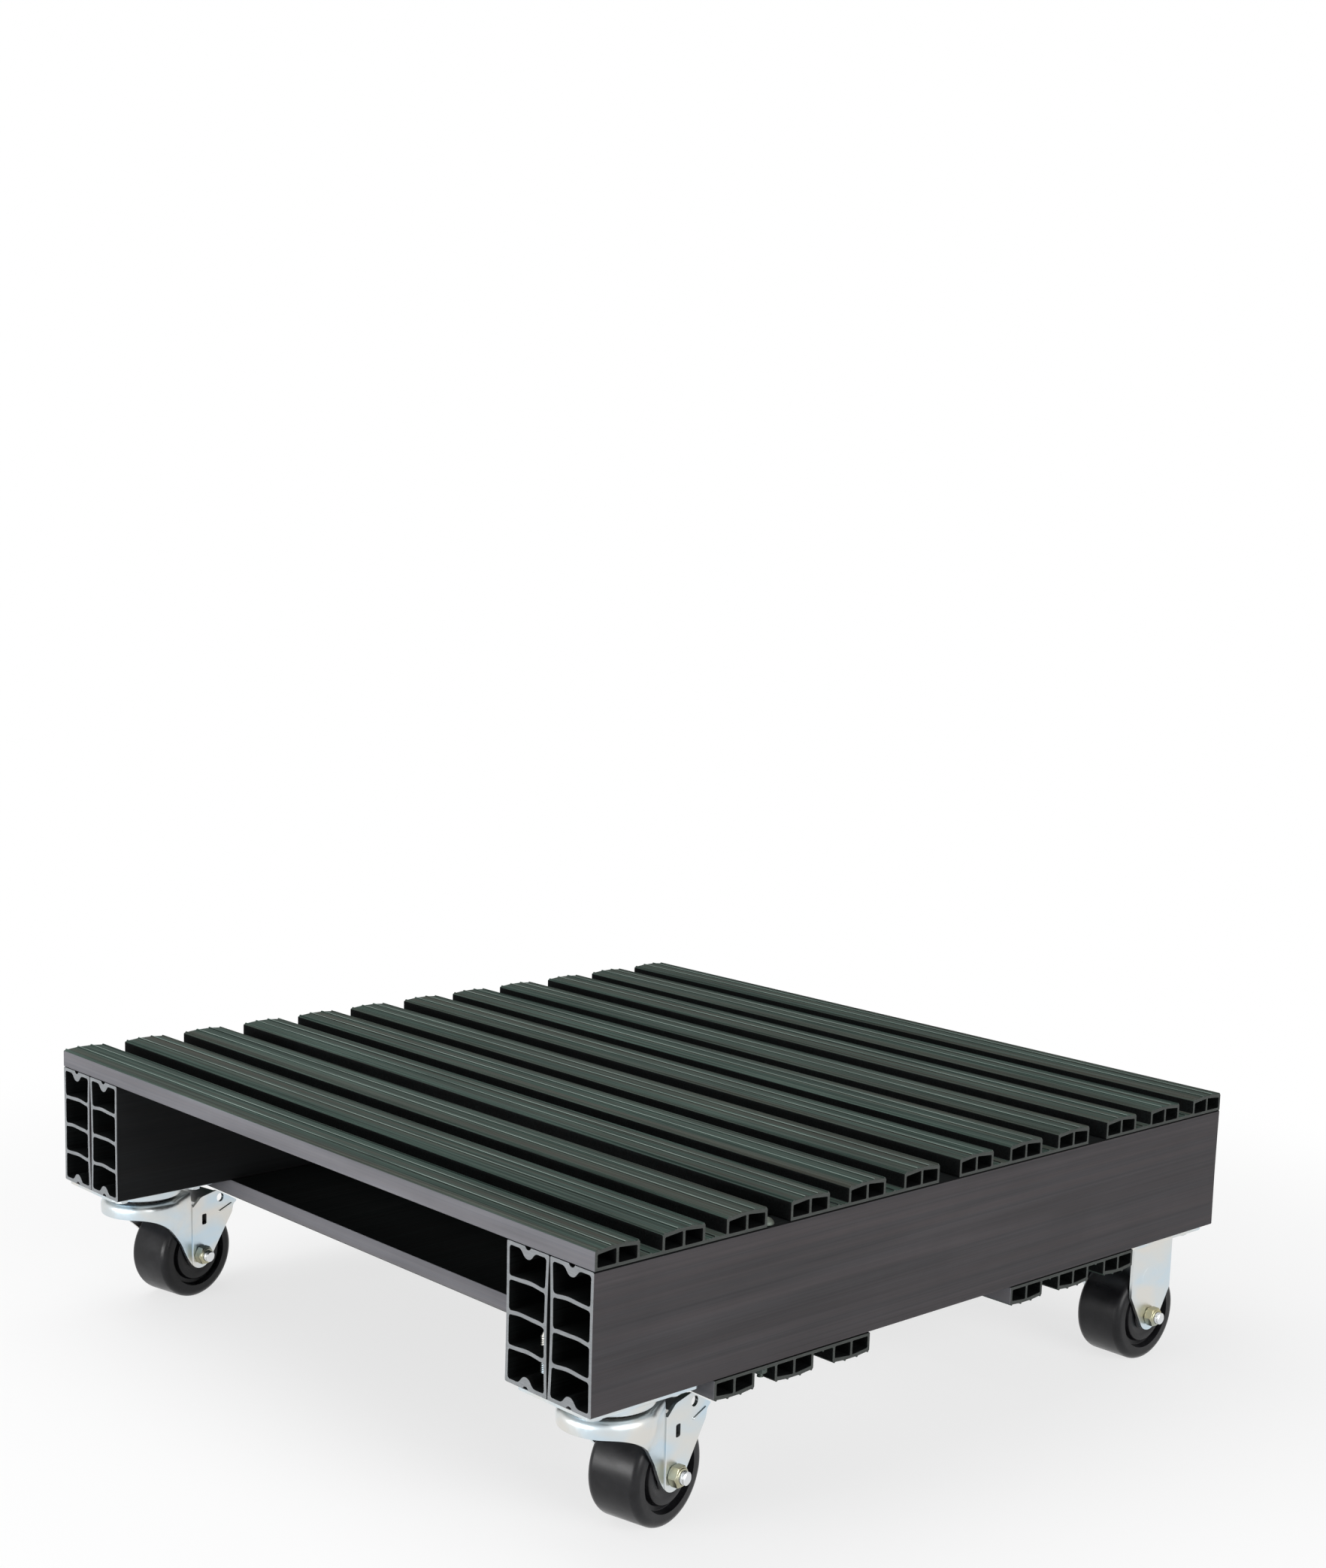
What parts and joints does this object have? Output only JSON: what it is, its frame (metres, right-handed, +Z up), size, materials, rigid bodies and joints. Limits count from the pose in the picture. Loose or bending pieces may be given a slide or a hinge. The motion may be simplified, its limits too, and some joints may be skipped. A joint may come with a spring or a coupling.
{
  "type": "furniture dolly",
  "caption": "Square furniture dolly: slatted plastic deck on hollow beams, swivel casters at one end and rigid casters at the other.",
  "frame": {"origin": "on the floor under the middle of the deck", "axes": "+X along the beams towards the rigid casters, +Y to the left side, +Z up"},
  "size_m": [0.9144, 0.9144, 0.2998],
  "materials": {
    "board_plastic": "ridged, semi-gloss",
    "beam_plastic": "satin with faint lengthwise streaks",
    "zinc": "bright zinc plated",
    "yellow_zinc": "yellow zinc plated",
    "steel": "plain",
    "wheel_plastic": "moulded satin"
  },
  "bodies": {
    "frame": {"deck_board_1": "board_plastic", "deck_board_2": "board_plastic", "deck_board_3": "board_plastic", "deck_board_4": "board_plastic", "bottom_board_rear": "board_plastic", "bottom_board_front": "board_plastic", "right_beam_outer_plank": "beam_plastic", "right_beam_inner_plank": "beam_plastic", "right_board_bolt": "zinc", "right_board_lag_screw": "zinc", "left_beam_outer_plank": "beam_plastic", "left_beam_inner_plank": "beam_plastic", "left_board_bolt": "zinc", "left_board_lag_screw": "zinc", "rear_right_screw_1": "zinc", "rear_right_screw_2": "zinc", "rear_right_screw_3": "zinc", "rear_right_screw_4": "zinc", "rear_right_top_plate": "zinc", "rear_right_kingpin": "steel", "rear_right_ball_ring": "steel", "rear_left_screw_1": "zinc", "rear_left_screw_2": "zinc", "rear_left_screw_3": "zinc", "rear_left_screw_4": "zinc", "rear_left_top_plate": "zinc", "rear_left_kingpin": "steel", "rear_left_ball_ring": "steel", "front_right_screw_1": "zinc", "front_right_screw_2": "zinc", "front_right_screw_3": "zinc", "front_right_screw_4": "zinc", "front_right_bracket": "zinc", "front_right_axle_sleeve": "steel", "front_right_axle_bolt": "zinc", "front_right_axle_nut": "yellow_zinc", "front_left_screw_1": "zinc", "front_left_screw_2": "zinc", "front_left_screw_3": "zinc", "front_left_screw_4": "zinc", "front_left_bracket": "zinc", "front_left_axle_sleeve": "steel", "front_left_axle_bolt": "zinc", "front_left_axle_nut": "yellow_zinc"},
    "rear_right_swivel": {"rear_right_fork": "zinc", "rear_right_axle_sleeve": "steel", "rear_right_axle_bolt": "zinc", "rear_right_axle_nut": "yellow_zinc"},
    "rear_right_wheel": {"rear_right_wheel": "wheel_plastic"},
    "rear_left_swivel": {"rear_left_fork": "zinc", "rear_left_axle_sleeve": "steel", "rear_left_axle_bolt": "zinc", "rear_left_axle_nut": "yellow_zinc"},
    "rear_left_wheel": {"rear_left_wheel": "wheel_plastic"},
    "front_right_wheel": {"front_right_wheel": "wheel_plastic"},
    "front_left_wheel": {"front_left_wheel": "wheel_plastic"}
  },
  "joints": [
    {"name": "rear_right_swivel_turn", "type": "hinge", "parent": "frame", "child": "rear_right_swivel", "pos_m": [-0.3901, -0.4029, 0.147], "axis": [0, 0, 1], "continuous": true},
    {"name": "rear_right_wheel_roll", "type": "hinge", "parent": "rear_right_swivel", "child": "rear_right_wheel", "pos_m": [-0.33317, -0.39183, 0.052], "axis": [-0.1908, 0.9816, 0], "continuous": true},
    {"name": "rear_left_swivel_turn", "type": "hinge", "parent": "frame", "child": "rear_left_swivel", "pos_m": [-0.3901, 0.4029, 0.147], "axis": [0, 0, 1], "continuous": true},
    {"name": "rear_left_wheel_roll", "type": "hinge", "parent": "rear_left_swivel", "child": "rear_left_wheel", "pos_m": [-0.33317, 0.41397, 0.052], "axis": [-0.1908, 0.9816, 0], "continuous": true},
    {"name": "front_right_wheel_roll", "type": "hinge", "parent": "frame", "child": "front_right_wheel", "pos_m": [0.3801, -0.4029, 0.052], "axis": [0, 1, 0], "continuous": true},
    {"name": "front_left_wheel_roll", "type": "hinge", "parent": "frame", "child": "front_left_wheel", "pos_m": [0.3801, 0.4029, 0.052], "axis": [0, 1, 0], "continuous": true}
  ]
}
